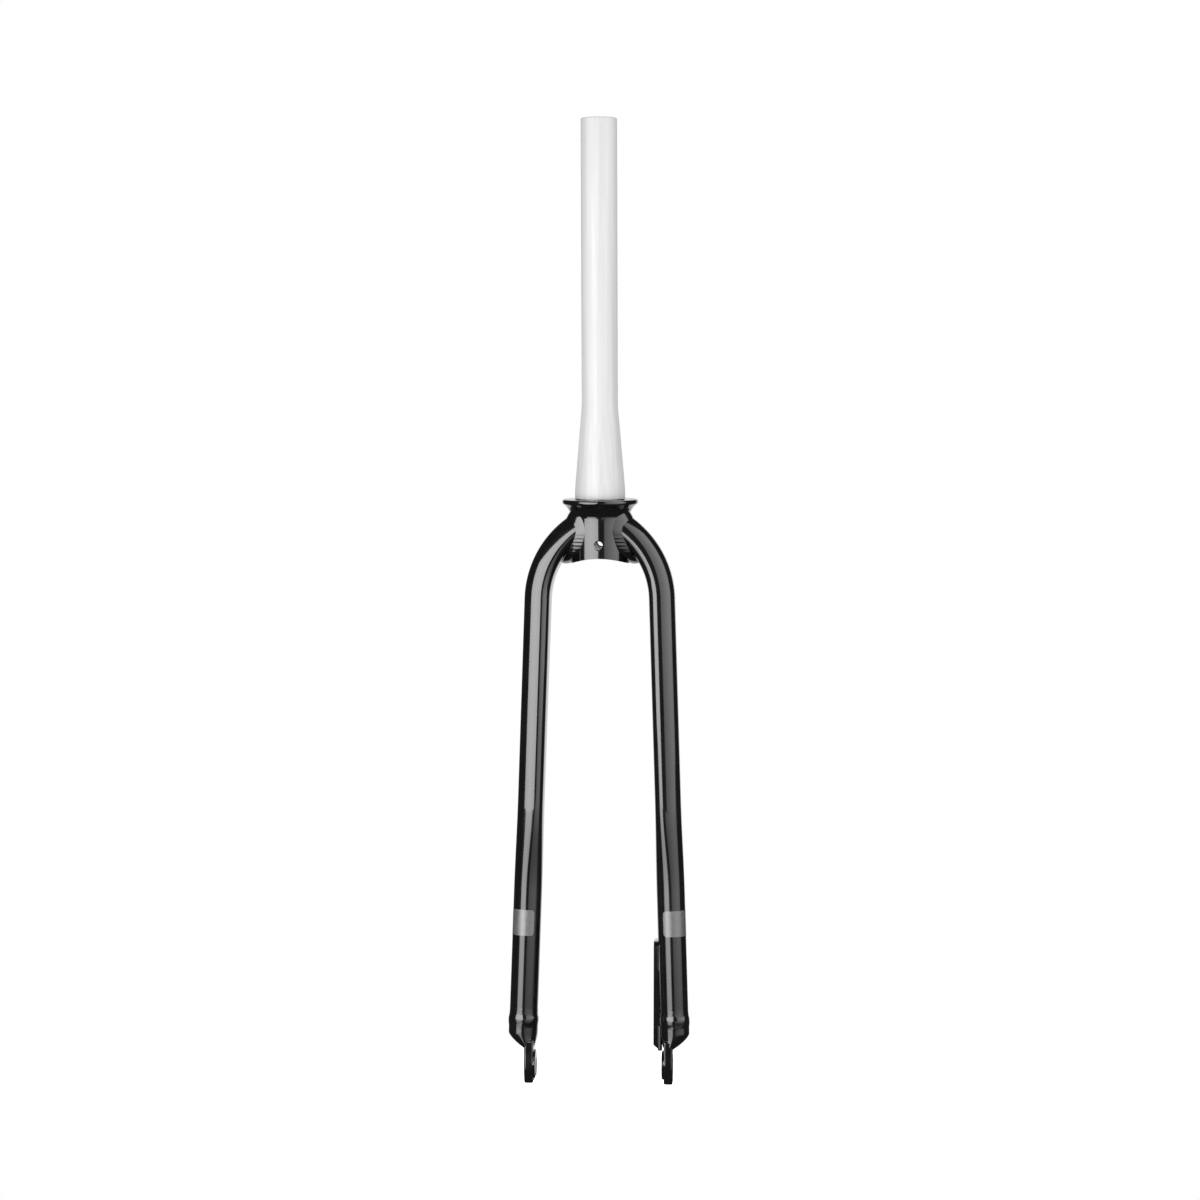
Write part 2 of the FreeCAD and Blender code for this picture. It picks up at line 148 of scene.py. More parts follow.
# Blasted aluminium: grit about 0.3 mm across, drawn at 0.9 mm to show here; it gives an even, soft glow.
# Faint long streaks along the tube are left from drawing it.
blasted = bpy.data.materials.new("bead_blasted_aluminium")
blasted.use_nodes = True
tree = blasted.node_tree
shader = tree.nodes["Principled BSDF"]
place = add_node(tree, "ShaderNodeTexCoord", {}, {}).outputs["Object"]
drawn = add_node(tree, "ShaderNodeMapping", {"Scale": (1, 1, STREAK_SQUEEZE)}, {"Vector": place})
streak = add_node(tree, "ShaderNodeTexNoise", {"Scale": 1 / (STREAK_WIDTH * MM), "Detail": 4},
                  {"Vector": drawn.outputs["Vector"]})
grit = add_node(tree, "ShaderNodeTexNoise", {"Scale": 1 / (GRIT_SIZE * MM), "Detail": 3}, {"Vector": place})
tint = add_node(tree, "ShaderNodeValToRGB", {"stops": STEERER_TINTS}, {"Fac": streak.outputs["Fac"]})
sheen = add_node(tree, "ShaderNodeMapRange",
                 {"From Min": 0.25, "From Max": 0.75, "To Min": 0.54, "To Max": 0.64},
                 {"Value": grit.outputs["Fac"]})
pits = add_node(tree, "ShaderNodeBump", {"Strength": 0.12, "Distance": PIT_DEPTH * MM},
                {"Height": grit.outputs["Fac"]})
tree.links.new(tint.outputs["Color"], shader.inputs["Base Color"])
tree.links.new(sheen.outputs[0], shader.inputs["Roughness"])
tree.links.new(pits.outputs["Normal"], shader.inputs["Normal"])
shader.inputs["Metallic"].default_value = 0.3

steerer = turned("steerer", STEERER_OUTLINE, STEERER_SEGMENTS)
steerer_drill = cylinder(STEERER_HOLE_RADIUS, (0, 0, -BOLT_HOLE_DROP), RIGHT_THROUGH, ALONG_Y)
joined_by(steerer, steerer_drill, "DIFFERENCE")
modified(steerer, "BEVEL", width=STEERER_EDGE * MM, segments=2, limit_method="ANGLE",
         angle_limit=math.radians(BEVEL_FROM))
smoothed(steerer, CREASE)
steerer.data.materials.append(blasted)
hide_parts("steerer_tube")
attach(steerer, "root")


# Crown: an aluminium forging, bored for the steerer and turned to a thin seat flange over a waisted neck.
# Its underside is arched over the tyre, and a countersunk bolt hole runs through it from front to back.
# It was painted together with the legs.
CROWN_SEGMENTS = 192
CROWN_OUTLINE = (
    (19.33, -53), (23, -53), (23, -46), (23, -41), (23, -29), (23, -20), (23, -14.4), (23.08, -13.4),
    (23.3, -12.4), (23.7, -11.3), (24.25, -10.1), (24.95, -8.8), (25.7, -7.5), (26.5, -6.4), (27.4, -5.4),
    (28.3, -4.6), (29.2, -3.9), (29.8, -3.4), (30.14, -2.8), (30.14, -1.5), (30, -0.75), (29.6, -0.2),
    (29, 0), (24, 0), (20.5, 0), (20.3, 0.15), (20.25, 0.5), (20.15, 0.6), (19.95, 0.6), (19.93, 0),
    (19.33, -0.6),
)
CROWN_RADIUS = 23
CROWN_ARCH_RADIUS = 57
CROWN_HEIGHT = 46
CROWN_EDGE = 0.5
CROWN_BEVEL_FROM = 60
BOLT_HOLE_RADIUS = 3.3
COUNTERSINK = 0.8
COUNTERSINK_CUT = 4
ENAMEL_TINTS = ((0.3, "#080809"), (0.7, "#0d0d0e"))
PEEL_SIZE = 3
PEEL_DEPTH = 0.01
CLOUD_SIZE = 25

# Gloss black stove enamel under clear lacquer: a deep black with a sharp, wet gloss from the lacquer.
# The spray leaves a faint orange peel about 3 mm across, which only just stirs the reflections.
enamel = bpy.data.materials.new("gloss_black_enamel")
enamel.use_nodes = True
tree = enamel.node_tree
shader = tree.nodes["Principled BSDF"]
place = add_node(tree, "ShaderNodeTexCoord", {}, {}).outputs["Object"]
peel = add_node(tree, "ShaderNodeTexNoise", {"Scale": 1 / (PEEL_SIZE * MM), "Detail": 1}, {"Vector": place})
cloud = add_node(tree, "ShaderNodeTexNoise", {"Scale": 1 / (CLOUD_SIZE * MM), "Detail": 2},
                 {"Vector": place})
tint = add_node(tree, "ShaderNodeValToRGB", {"stops": ENAMEL_TINTS}, {"Fac": cloud.outputs["Fac"]})
haze = add_node(tree, "ShaderNodeMapRange",
                {"From Min": 0.3, "From Max": 0.7, "To Min": 0.14, "To Max": 0.2},
                {"Value": cloud.outputs["Fac"]})
skin = add_node(tree, "ShaderNodeBump", {"Strength": 0.1, "Distance": PEEL_DEPTH * MM},
                {"Height": peel.outputs["Fac"]})
tree.links.new(tint.outputs["Color"], shader.inputs["Base Color"])
tree.links.new(haze.outputs[0], shader.inputs["Roughness"])
tree.links.new(skin.outputs["Normal"], shader.inputs["Coat Normal"])
shader.inputs["Coat Weight"].default_value = 1
shader.inputs["Coat Roughness"].default_value = 0.03
shader.inputs["Coat IOR"].default_value = 1.75

crown = turned("crown", CROWN_OUTLINE, CROWN_SEGMENTS)
arch_middle = (0, 0, -CROWN_HEIGHT - CROWN_ARCH_RADIUS)
joined_by(crown, cylinder(CROWN_ARCH_RADIUS, arch_middle, RIGHT_THROUGH, ALONG_Y), "DIFFERENCE")
bolt_drill = cylinder(BOLT_HOLE_RADIUS, (0, 0, -BOLT_HOLE_DROP), RIGHT_THROUGH, ALONG_Y)
joined_by(crown, bolt_drill, "DIFFERENCE")
for facing in (-1, 1):
    cut_middle = Vector((0, facing * (CROWN_RADIUS - COUNTERSINK + COUNTERSINK_CUT / 2), -BOLT_HOLE_DROP))
    bpy.ops.object.select_all(action="DESELECT")
    bpy.ops.mesh.primitive_cone_add(
        vertices=CUTTER_SEGMENTS, radius1=BOLT_HOLE_RADIUS * MM,
        radius2=(BOLT_HOLE_RADIUS + COUNTERSINK_CUT) * MM, depth=COUNTERSINK_CUT * MM,
        location=cut_middle * MM, rotation=(math.radians(-90 * facing), 0, 0))
    bpy.ops.object.transform_apply(location=True, rotation=True, scale=True)
    joined_by(crown, bpy.context.object, "DIFFERENCE")
smoothed(crown, CREASE)
modified(crown, "BEVEL", width=CROWN_EDGE * MM, segments=3, limit_method="ANGLE",
         angle_limit=math.radians(CROWN_BEVEL_FROM), harden_normals=True)
crown.data.materials.append(enamel)
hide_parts("crown")
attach(crown, "root")


# Legs: aluminium tubes, drawn to a D above and left round below, bent at the top and mitred to the crown.
# The two are mirror images, welded on all round and painted gloss black.
SECTION_POINTS = 128
BEND_STEPS = 48
BLEND_STEPS = 14
STRAIGHT_STEPS = 4
TINY = 0.001
AXLE_DROP = 449.2
FORWARD_RAKE = 43
LEG_ROOT = Vector((0, 0, -26))
RAKE = math.asin(FORWARD_RAKE / (AXLE_DROP + LEG_ROOT.z))
SPLAY = math.radians(1.8)
BEND_END = Vector((49.5, 0, -78.9))
BEND_RADIUS = 71.5
BEND_ANGLE = math.radians(60)
DOWN_LEG = Vector((math.sin(SPLAY), 0, -math.cos(SPLAY)))
ACROSS_LEG = Vector((math.cos(SPLAY), 0, math.sin(SPLAY)))
BEND_CENTRE = BEND_END - ACROSS_LEG * BEND_RADIUS
BLADE_END_DROP = 239
ROUND_START_DROP = 312
TUBE_END_DROP = 413
TUBE_RADIUS = 11.2
D_OUTWARD = 13.8
D_INWARD = 6.7
D_OUTER_NOSE = 11.5
D_INNER_NOSE = 7.5
D_HALF_DEPTH_TOP = 18
D_HALF_DEPTH_END = 14.5
MITRE_RADIUS = 22.8
MITRE_MIDDLE = (0, 0, -40)
MITRE_LENGTH = 160
UPRIGHT = (0, 0, 0)
LEG_CREASE = 40

raked = (Matrix.Translation(LEG_ROOT * MM) @ Matrix.Rotation(-RAKE, 4, "X")
         @ Matrix.Translation(-LEG_ROOT * MM))


def down_to(drop):
    """The distance down a leg from the end of its bend to a drop below the crown seat, in mm."""
    return (drop + BEND_END.z) / math.cos(SPLAY)


def mix(low, high, share):
    """A share of the way from one value to another."""
    return low + (high - low) * share


def section_spot(turn, distance):
    """How far across and how deep a point of a leg's outline is, at a turn round the tube, in mm."""
    share = (distance - down_to(BLADE_END_DROP)) / (down_to(ROUND_START_DROP) - down_to(BLADE_END_DROP))
    share = min(max(share, 0), 1)
    roundness = share * share * (3 - 2 * share)
    along_blade = min(max(distance / down_to(BLADE_END_DROP), 0), 1)
    half_depth = mix(mix(D_HALF_DEPTH_TOP, D_HALF_DEPTH_END, along_blade), TUBE_RADIUS, roundness)
    outward = mix(D_OUTWARD, TUBE_RADIUS, roundness)
    inward = mix(D_INWARD, TUBE_RADIUS, roundness)
    nose_place = (inward - outward) / 2
    if math.cos(turn) > 0:
        reach = outward
        nose = mix(D_OUTER_NOSE, TUBE_RADIUS, roundness)
    else:
        reach = inward
        nose = mix(D_INNER_NOSE, TUBE_RADIUS, roundness)
    rise = math.sin(turn)
    flat = math.copysign(half_depth - nose, rise) if abs(rise) > TINY else 0
    return nose_place + reach * math.cos(turn), flat + nose * rise


def place_ring(piece, distance):
    """Moves the selected ring of a leg to its outline at a distance down from the end of the bend."""
    mesh = bmesh.from_edit_mesh(piece.data)
    turns = mesh.verts.layers.float["turn"]
    for vert in mesh.verts:
        if vert.select:
            across, depth = section_spot(vert[turns], distance)
            spot = BEND_END + DOWN_LEG * distance + ACROSS_LEG * across + Vector((0, depth, 0))
            vert.co = spot * MM
    bmesh.update_edit_mesh(piece.data)


def mirrored(piece, name):
    """A copy of a left-hand piece for the rider's right, with its own mesh."""
    copy = piece.copy()
    copy.data = piece.data.copy()
    copy.name = name
    copy.data.transform(Matrix.Scale(-1, 4, (1, 0, 0)))
    copy.data.flip_normals()
    bpy.context.collection.objects.link(copy)
    return copy


bpy.ops.object.select_all(action="DESELECT")
bpy.ops.mesh.primitive_circle_add(vertices=SECTION_POINTS, radius=1)
left_leg = bpy.context.object
left_leg.name = "left_leg_tube"
turn_marks = left_leg.data.attributes.new("turn", "FLOAT", "POINT")
for vertex in left_leg.data.vertices:
    turn_marks.data[vertex.index].value = math.atan2(vertex.co.y, vertex.co.x)
bpy.ops.object.mode_set(mode="EDIT")
place_ring(left_leg, down_to(TUBE_END_DROP))
bpy.ops.mesh.edge_face_add()
blend_drops = [mix(ROUND_START_DROP, BLADE_END_DROP, step / BLEND_STEPS) for step in range(BLEND_STEPS + 1)]
straight_steps = range(1, STRAIGHT_STEPS + 1)
straight_drops = [mix(BLADE_END_DROP, -BEND_END.z, step / STRAIGHT_STEPS) for step in straight_steps]
for drop in blend_drops + straight_drops:
    bpy.ops.mesh.extrude_region_move()
    place_ring(left_leg, down_to(drop))
bpy.ops.mesh.spin(steps=BEND_STEPS, angle=BEND_ANGLE, center=BEND_CENTRE * MM, axis=(0, 1, 0))
bpy.ops.mesh.select_all(action="SELECT")
bpy.ops.mesh.remove_doubles(threshold=TINY * MM)
bpy.ops.mesh.normals_make_consistent(inside=False)
bpy.ops.object.mode_set(mode="OBJECT")
left_leg.data.transform(raked)
joined_by(left_leg, cylinder(MITRE_RADIUS, MITRE_MIDDLE, MITRE_LENGTH, UPRIGHT), "DIFFERENCE")
smoothed(left_leg, LEG_CREASE)
left_leg.data.materials.append(enamel)
right_leg = mirrored(left_leg, "right_leg_tube")
for leg, node_name in ((left_leg, "left_leg"), (right_leg, "right_leg")):
    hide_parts(node_name)
    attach(leg, "root")


# Crown welds: filler laid by hand round each leg's mitre, thin on top and fat in the tight corner below.
# Each dip of the rod leaves one ripple, and the paint runs over them all.
RIPPLE = 2.9
RIPPLE_HEIGHT = 0.17
RIPPLE_BOW = 0.3
RIPPLES_MIDDLE = -33
RIPPLES_REACH = 8
TOE_ON_CROWN = 6
TOE_ON_LEG = 3
TOP_TOE_ON_LEG = 5
TOP_SHARE = 0.25
CORNER_TOE_HEIGHT = -51.6
CORNER_TOE_ON_LEG = 9.5
CORNER_POWER = 4
TOE_BURY = 0.5
WELD_CROWNING = 0.5
CORNER_CROWNING = 1.5
WELD_ROOT = 1.5
WELD_STEPS = 480
WELD_ROWS = 16
WELD_CREASE = 60
HALVINGS = 30


def mitre_spot(turn, radius):
    """Where a line along the bent leg meets a cylinder of a radius about the steerer's axis, in mm."""
    across, depth = section_spot(turn, 0)
    low = 0.0
    high = BEND_ANGLE
    for _ in range(HALVINGS):
        angle = SPLAY + (low + high) / 2
        spot = BEND_CENTRE + Vector((math.cos(angle), 0, math.sin(angle))) * (BEND_RADIUS + across)
        spot = raked @ ((spot + Vector((0, depth, 0))) * MM) / MM
        if math.hypot(spot.x, spot.y) > radius:
            low = (low + high) / 2
        else:
            high = (low + high) / 2
    return spot


turns = [2 * math.pi * step / WELD_STEPS for step in range(WELD_STEPS)]
seam = [mitre_spot(turn, CROWN_RADIUS) for turn in turns]
unrolled = [Vector((math.atan2(spot.y, spot.x) * CROWN_RADIUS, spot.z)) for spot in seam]
middle = sum(unrolled, Vector((0, 0))) / WELD_STEPS
highest = max(spot.z for spot in seam)
lowest = min(spot.z for spot in seam)
weld_spots = []
for turn, root, flat_spot in zip(turns, seam, unrolled):
    depth = (highest - root.z) / (highest - lowest)
    corner = depth ** CORNER_POWER
    crown_toe = mix(TOE_ON_CROWN, lowest - CORNER_TOE_HEIGHT, corner)
    toe = flat_spot + (flat_spot - middle).normalized() * crown_toe
    toe_angle = toe.x / CROWN_RADIUS
    toe_radius = CROWN_RADIUS - TOE_BURY
    upper = Vector((toe_radius * math.cos(toe_angle), toe_radius * math.sin(toe_angle), toe.y))
    leg_toe = mix(TOE_ON_LEG, TOP_TOE_ON_LEG, max(1 - depth / TOP_SHARE, 0))
    lower = mitre_spot(turn, CROWN_RADIUS + mix(leg_toe, CORNER_TOE_ON_LEG, corner))
    crowning = mix(WELD_CROWNING, CORNER_CROWNING, corner)
    outwards = (upper.lerp(lower, 0.5) - root).normalized()
    lower = lower - outwards * TOE_BURY
    for row in range(WELD_ROWS):
        share = row / (WELD_ROWS - 1)
        spot = upper.lerp(lower, share)
        strength = RIPPLE_HEIGHT * max(1 - abs(spot.z - RIPPLES_MIDDLE) / RIPPLES_REACH, 0)
        wave = math.cos(2 * math.pi * (spot.z / RIPPLE + RIPPLE_BOW * (2 * share - 1) ** 2))
        weld_spots.append(spot + outwards * math.sin(math.pi * share) * (crowning + strength * wave))
    weld_spots.append(root - outwards * WELD_ROOT)
ring = WELD_ROWS + 1
weld_faces = []
for step in range(WELD_STEPS):
    begin = step * ring
    after = (step + 1) % WELD_STEPS * ring
    for row in range(ring):
        beside = (row + 1) % ring
        weld_faces.append((begin + row, begin + beside, after + beside, after + row))
weld_mesh = bpy.data.meshes.new("left_crown_bead")
weld_mesh.from_pydata([spot * MM for spot in weld_spots], [], weld_faces)
left_crown_weld = bpy.data.objects.new("left_crown_bead", weld_mesh)
bpy.context.collection.objects.link(left_crown_weld)
bpy.ops.object.select_all(action="DESELECT")
left_crown_weld.select_set(True)
bpy.context.view_layer.objects.active = left_crown_weld
bpy.ops.object.mode_set(mode="EDIT")
bpy.ops.mesh.select_all(action="SELECT")
bpy.ops.mesh.normals_make_consistent(inside=False)
bpy.ops.object.mode_set(mode="OBJECT")
modified(left_crown_weld, "SUBSURF", levels=1, render_levels=1)
smoothed(left_crown_weld, WELD_CREASE)
left_crown_weld.data.materials.append(enamel)
right_crown_weld = mirrored(left_crown_weld, "right_crown_bead")
for weld, node_name in ((left_crown_weld, "left_crown_weld"), (right_crown_weld, "right_crown_weld")):
    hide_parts(node_name)
    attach(weld, "root")


# Dropouts: aluminium forgings, hoods that close the tubes and flatten into blades slotted for the axle.
# A raised pad meets the hub, a round recess takes the nut, and forging leaves every edge soft.
HOOD_RADIUS = 11.6
HOOD_STRAIGHT = 10.6
HOOD_CLOSING = 13
HOOD_STEPS = 16
HOOD_POINTS = 96
CLOSING_POWER = 1.5
HUB_HALF_SPACING = 50
PAD_HEIGHT = 1.7
PAD_RADIUS = 11.5
BLADE_THICKNESS = 7.2
NECK_HALF_WIDTH = 11.1
NECK_RISE = 12
EYE_HALF_WIDTH = 11.5
TIP_HALF_WIDTH = 6.8
BLADE_REACH = 14.4
BLADE_TOP = 20
BLADE_STEPS = 24
BLADE_EDGE = 1.3
TIP_POWER = 2.2
SLOT_RADIUS = 4.6
SLOT_RUN = 24
SLOT_CUT = 30
RECESS_RADIUS = 9
RECESS_DEPTH = 1.2
RECESS_CUT = 8
ALONG_X = (0, math.radians(90), 0)
FORGING_GRAIN = 0.3
FORGED_CREASE = 80

socket_spot = BEND_END + DOWN_LEG * down_to(TUBE_END_DROP)
blade_middle = HUB_HALF_SPACING + PAD_HEIGHT + BLADE_THICKNESS / 2


def plate(name, outline, inner, thickness):
    """A plate cut to an outline of depth and height, from its inner face outwards, all in mm."""
    mesh = bpy.data.meshes.new(name)
    spots = [(inner * MM, depth * MM, height * MM) for depth, height in outline]
    mesh.from_pydata(spots, [], [list(range(len(spots)))])
    piece = bpy.data.objects.new(name, mesh)
    bpy.context.collection.objects.link(piece)
    bpy.ops.object.select_all(action="DESELECT")
    piece.select_set(True)
    bpy.context.view_layer.objects.active = piece
    bpy.ops.object.mode_set(mode="EDIT")
    bpy.ops.mesh.select_all(action="SELECT")
    bpy.ops.mesh.extrude_region_move(TRANSFORM_OT_translate={"value": (thickness * MM, 0, 0)})
    bpy.ops.mesh.select_all(action="SELECT")
    bpy.ops.mesh.normals_make_consistent(inside=False)
    bpy.ops.object.mode_set(mode="OBJECT")
    return piece


def blade_half_width(rise):
    """Half the depth of a blade at a rise above the axle: a neck, a round eye and a drawn-in tip."""
    if rise > 0:
        share = min(rise / NECK_RISE, 1)
        return mix(EYE_HALF_WIDTH, NECK_HALF_WIDTH, share * share * (3 - 2 * share))
    return mix(EYE_HALF_WIDTH, TIP_HALF_WIDTH, (-rise / BLADE_REACH) ** TIP_POWER)


def stretched(piece, axis_height, shift):
    """Moves the half of a round piece beyond a height, so that it becomes a slot shape."""
    bpy.context.view_layer.objects.active = piece
    bpy.ops.object.mode_set(mode="EDIT")
    mesh = bmesh.from_edit_mesh(piece.data)
    for vert in mesh.verts:
        vert.select = (vert.co.z / MM - axis_height) * shift > 0
    mesh.select_flush_mode()
    bmesh.update_edit_mesh(piece.data)
    bpy.ops.transform.translate(value=(0, 0, shift * MM))
    bpy.ops.object.mode_set(mode="OBJECT")
    return piece


def hood_ring(piece, share):
    """Moves the selected ring of a hood to where it has closed by a share of the way to the blade."""
    shoulder = socket_spot + DOWN_LEG * HOOD_STRAIGHT
    closed = share ** CLOSING_POWER
    middle_x = mix(shoulder.x, blade_middle, closed)
    half_width = mix(HOOD_RADIUS, BLADE_THICKNESS / 2, closed)
    half_depth = mix(HOOD_RADIUS, NECK_HALF_WIDTH, share)
    mesh = bmesh.from_edit_mesh(piece.data)
    turns = mesh.verts.layers.float["turn"]
    for vert in mesh.verts:
        if vert.select:
            turn = vert[turns]
            spot = Vector((middle_x + half_width * math.cos(turn), half_depth * math.sin(turn), 0))
            spot.z = shoulder.z - HOOD_CLOSING * share
            vert.co = spot * MM
    bmesh.update_edit_mesh(piece.data)


bpy.ops.object.select_all(action="DESELECT")
bpy.ops.mesh.primitive_circle_add(vertices=HOOD_POINTS, radius=HOOD_RADIUS * MM, location=socket_spot * MM)
bpy.ops.object.transform_apply(location=True)
left_dropout = bpy.context.object
left_dropout.name = "left_dropout_forging"
turn_marks = left_dropout.data.attributes.new("turn", "FLOAT", "POINT")
for vertex in left_dropout.data.vertices:
    turn_marks.data[vertex.index].value = math.atan2(vertex.co.y, vertex.co.x - socket_spot.x * MM)
bpy.ops.object.mode_set(mode="EDIT")
bpy.ops.mesh.edge_face_add()
for step in range(HOOD_STEPS + 1):
    bpy.ops.mesh.extrude_region_move()
    hood_ring(left_dropout, step / HOOD_STEPS)
bpy.ops.mesh.select_all(action="SELECT")
bpy.ops.mesh.normals_make_consistent(inside=False)
bpy.ops.object.mode_set(mode="OBJECT")
rises = [mix(BLADE_TOP, -BLADE_REACH, step / BLADE_STEPS) for step in range(BLADE_STEPS + 1)]
blade_outline = [(blade_half_width(rise), rise - AXLE_DROP) for rise in rises]
blade_outline += [(-blade_half_width(rise), rise - AXLE_DROP) for rise in reversed(rises)]
blade = plate("blade", blade_outline, HUB_HALF_SPACING + PAD_HEIGHT, BLADE_THICKNESS)
modified(blade, "BEVEL", width=BLADE_EDGE * MM, segments=4, limit_method="ANGLE",
         angle_limit=math.radians(BEVEL_FROM), use_clamp_overlap=False)
joined_by(left_dropout, blade, "UNION")
pad_middle = (HUB_HALF_SPACING + PAD_HEIGHT, 0, -AXLE_DROP)
joined_by(left_dropout, cylinder(PAD_RADIUS, pad_middle, 2 * PAD_HEIGHT, ALONG_X), "UNION")
recess_floor = HUB_HALF_SPACING + PAD_HEIGHT + BLADE_THICKNESS - RECESS_DEPTH
recess_middle = (recess_floor + RECESS_CUT / 2, 0, -AXLE_DROP)
joined_by(left_dropout, cylinder(RECESS_RADIUS, recess_middle, RECESS_CUT, ALONG_X), "DIFFERENCE")
slot_end = cylinder(SLOT_RADIUS, (blade_middle, 0, -AXLE_DROP), SLOT_CUT, ALONG_X)
joined_by(left_dropout, stretched(slot_end, -AXLE_DROP, -SLOT_RUN), "DIFFERENCE")
modified(left_dropout, "REMESH", mode="VOXEL", voxel_size=FORGING_GRAIN * MM)
modified(left_dropout, "SMOOTH", factor=0.5, iterations=4)
left_dropout.data.transform(raked)
smoothed(left_dropout, FORGED_CREASE)
left_dropout.data.materials.append(enamel)
right_dropout = mirrored(left_dropout, "right_dropout_forging")
for dropout, node_name in ((left_dropout, "left_dropout"), (right_dropout, "right_dropout")):
    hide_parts(node_name)
    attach(dropout, "root")


# Dropout welds: filler round the seam of each tube and its forging, dressed to a low, uneven swelling.
# They are painted over with the legs.
SWELLING_OUTLINE = (
    (10.9, 10.5), (11.2, 9.5), (11.3, 6), (11.45, 3), (11.8, 1.8), (12.05, 0.2), (11.98, -1.8),
    (11.82, -3.4), (11.68, -5), (11.6, -6.5), (11.45, -8), (10.9, -8),
)
SWELLING_SEGMENTS = 144
LUMP_SIZE = 4.5
LUMP_HEIGHT = 0.2

left_swelling = turned("left_dropout_swelling", SWELLING_OUTLINE, SWELLING_SEGMENTS)
lumps = bpy.data.textures.new("weld_lumps", "CLOUDS")
lumps.noise_scale = LUMP_SIZE * MM
lumps.noise_depth = 1
modified(left_swelling, "SUBSURF", levels=2, render_levels=2)
modified(left_swelling, "DISPLACE", texture=lumps, strength=LUMP_HEIGHT * MM, mid_level=0.5)
left_swelling.data.transform(Matrix.Translation(socket_spot * MM) @ Matrix.Rotation(-SPLAY, 4, "Y"))
left_swelling.data.transform(raked)
smoothed(left_swelling, FORGED_CREASE)
left_swelling.data.materials.append(enamel)
right_swelling = mirrored(left_swelling, "right_dropout_swelling")
for weld, node_name in ((left_swelling, "left_dropout_weld"), (right_swelling, "right_dropout_weld")):
    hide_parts(node_name)
    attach(weld, "root")


# Disc brake tab: a plate cut from 5 mm aluminium, with an ear round each caliper bolt hole.
# It stands behind the left leg on its inner side, its foot cut aslant and its edges broken before painting.
TAB_INBOARD = 43.5
TAB_THICKNESS = 5
TAB_TOP_DROP = 351
TAB_BOTTOM_DROP = 438
TAB_FRONT = -3
TAB_TOP_CORNER = 5.5
TAB_FOOT_CORNER = 6
TAB_FOOT_SLANT = 5.5
TAB_FOOT_FACING = (-1, 0, -1)
TAB_EDGE = 0.5
TAB_BEVEL_FROM = 50
EAR_RADIUS = 8.5
EAR_DEPTH = 31
UPPER_EAR_DROP = 361
LOWER_EAR_DROP = 412
SCALLOP_RADIUS = 62
TAB_HOLE_RADIUS = 3.1
CORNER_STEPS = 10
EAR_STEPS = 24
SCALLOP_STEPS = 16


def arc(centre, radius, begin, finish, count):
    """Points of depth and height along an arc, its angles in degrees from the rear."""
    angles = [math.radians(mix(begin, finish, step / count)) for step in range(count + 1)]
    depth, height = centre
    return [(depth + radius * math.cos(angle), height + radius * math.sin(angle)) for angle in angles]


half_scallop = (LOWER_EAR_DROP - UPPER_EAR_DROP) / 2 - EAR_RADIUS
scallop_reach = math.sqrt(SCALLOP_RADIUS ** 2 - half_scallop ** 2)
scallop_centre = (EAR_DEPTH + scallop_reach, -(UPPER_EAR_DROP + LOWER_EAR_DROP) / 2)
scallop_angle = math.degrees(math.atan2(half_scallop, -scallop_reach))
top_slope = math.degrees(math.atan2(TAB_TOP_DROP - UPPER_EAR_DROP + EAR_RADIUS, EAR_DEPTH - TAB_FRONT))
foot_slope = math.degrees(math.atan2(TAB_BOTTOM_DROP - LOWER_EAR_DROP - EAR_RADIUS, EAR_DEPTH - TAB_FRONT))
top_corner = (TAB_FRONT + TAB_TOP_CORNER, -TAB_TOP_DROP - TAB_TOP_CORNER)
foot_corner = (TAB_FRONT + TAB_FOOT_CORNER, -TAB_BOTTOM_DROP + TAB_FOOT_CORNER)
tab_outline = arc(top_corner, TAB_TOP_CORNER, 180, 90 + top_slope, CORNER_STEPS)
tab_outline += arc((EAR_DEPTH, -UPPER_EAR_DROP), EAR_RADIUS, 90, -90, EAR_STEPS)
scallop = arc(scallop_centre, SCALLOP_RADIUS, scallop_angle, 360 - scallop_angle, SCALLOP_STEPS)
tab_outline += scallop[1:-1]
tab_outline += arc((EAR_DEPTH, -LOWER_EAR_DROP), EAR_RADIUS, 90, -90, EAR_STEPS)
tab_outline += arc(foot_corner, TAB_FOOT_CORNER, -90 + foot_slope, -180, CORNER_STEPS)
tab = plate("disc_tab_plate", tab_outline, TAB_INBOARD, TAB_THICKNESS)
bpy.ops.object.mode_set(mode="EDIT")
bpy.ops.mesh.select_all(action="SELECT")
slant_spot = Vector((TAB_INBOARD, 0, -TAB_BOTTOM_DROP + TAB_FOOT_SLANT)) * MM
bpy.ops.mesh.bisect(plane_co=slant_spot, plane_no=TAB_FOOT_FACING, use_fill=True, clear_outer=True)
bpy.ops.object.mode_set(mode="OBJECT")
for drop in (UPPER_EAR_DROP, LOWER_EAR_DROP):
    hole = cylinder(TAB_HOLE_RADIUS, (TAB_INBOARD, EAR_DEPTH, -drop), RIGHT_THROUGH, ALONG_X)
    joined_by(tab, hole, "DIFFERENCE")
smoothed(tab, CREASE)
modified(tab, "BEVEL", width=TAB_EDGE * MM, segments=3, limit_method="ANGLE",
         angle_limit=math.radians(TAB_BEVEL_FROM), harden_normals=True)
tab.data.transform(raked)
tab.data.materials.append(enamel)
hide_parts("disc_brake_tab")
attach(tab, "root")


# Disc tab welds: short beads of filler before and behind the plate, where it lies against the leg.
# They are painted over with the rest.
TAB_BEAD = 1.8
TAB_BEAD_LENGTH = 19.6
TAB_BEAD_ROUNDNESS = 10
TAB_BEAD_HEADS = ((354, -2.6), (354, 5.7), (417.5, -2.6), (417.5, 0))


